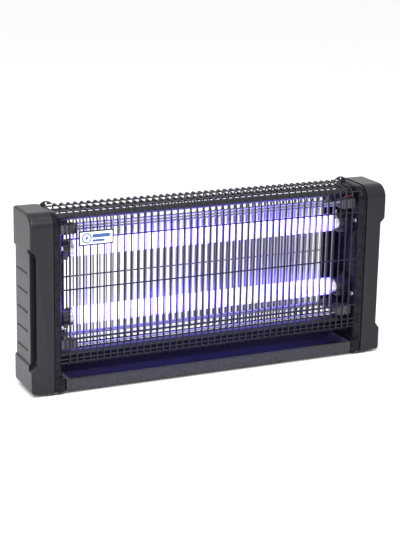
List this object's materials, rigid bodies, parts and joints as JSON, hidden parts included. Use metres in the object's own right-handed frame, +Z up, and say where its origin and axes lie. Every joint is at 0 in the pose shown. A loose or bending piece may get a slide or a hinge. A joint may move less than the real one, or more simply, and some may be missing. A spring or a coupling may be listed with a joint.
{
  "type": "electric insect killer",
  "caption": "Electric insect killer with black end caps, a welded wire guard around horizontal ultraviolet tubes and a charged grid, and a pull-out collecting tray.",
  "frame": {"origin": "on the floor, midway between the four feet", "axes": "+X along the tubes to the right-hand cap seen from the front, +Y to the back, +Z up"},
  "size_m": [0.57, 0.076, 0.2693],
  "materials": {
    "case_black": "fine moulded grain",
    "panel_black": "fine moulded grain",
    "foot_rubber": "soft matt rubber",
    "guard_black": "semi-gloss black paint on steel wire",
    "bar_grey": "satin black paint",
    "grid_steel": "bright galvanised wire",
    "insulator_black": "moulded, ribbed",
    "holder_black": "moulded",
    "lead_red": "silicone sleeve",
    "lead_black": "silicone sleeve",
    "tube_white": "phosphor-coated glass",
    "cap_aluminium": "pressed",
    "pin_brass": "bright",
    "holder_white": "moulded",
    "tray_black": "fine moulded grain",
    "plate_white": "glossy plate with a black rim",
    "tab_black": "black paint on sheet steel",
    "screw_steel": "zinc plated",
    "ballast_metal": "varnished laminations",
    "winding_brown": "taped winding",
    "board_green": "laminate",
    "part_blue": "moulded capacitors"
  },
  "bodies": {
    "housing": {"cover_left": "case_black", "cover_right": "case_black", "panel_left": "panel_black", "panel_right": "panel_black", "feet": "foot_rubber", "guard_front_wires": "guard_black", "guard_back_wires": "guard_black", "guard_front_cross": "guard_black", "guard_back_cross": "guard_black", "tie_bars": "bar_grey", "grid_front_live": "grid_steel", "grid_front_earth": "grid_steel", "grid_back_live": "grid_steel", "grid_back_earth": "grid_steel", "insulators": "insulator_black", "leads_red": "lead_red", "leads_black": "lead_black", "lamp_holders": "holder_black", "label_plate": "plate_white", "hanging_tabs": "tab_black", "panel_screws": "screw_steel", "cord_bush": "foot_rubber", "ballasts": "ballast_metal", "grid_transformer": "winding_brown", "starters": "holder_white", "starter_sockets": "holder_white", "terminal_block": "holder_white", "multiplier_board": "board_green", "board_parts": "part_blue", "back_rail": "guard_black", "end_screens": "panel_black"},
    "upper_lamp": {"upper_glass": "tube_white", "upper_caps": "cap_aluminium", "upper_pins": "pin_brass", "upper_rotors": "holder_white"},
    "lower_lamp": {"lower_glass": "tube_white", "lower_caps": "cap_aluminium", "lower_pins": "pin_brass", "lower_rotors": "holder_white"},
    "tray": {"tray_pan": "tray_black", "tray_front": "tray_black"}
  },
  "joints": [
    {"name": "tray_slide", "type": "slide", "parent": "housing", "child": "tray", "axis": [0, -1, 0], "range_m": [0, 0.05]},
    {"name": "upper_lamp_twist", "type": "hinge", "parent": "housing", "child": "upper_lamp", "pos_m": [0, 0, 0.2054], "axis": [1, 0, 0], "range_deg": [0, 90]},
    {"name": "lower_lamp_twist", "type": "hinge", "parent": "housing", "child": "lower_lamp", "pos_m": [0, 0, 0.1041], "axis": [1, 0, 0], "range_deg": [0, 90]}
  ]
}
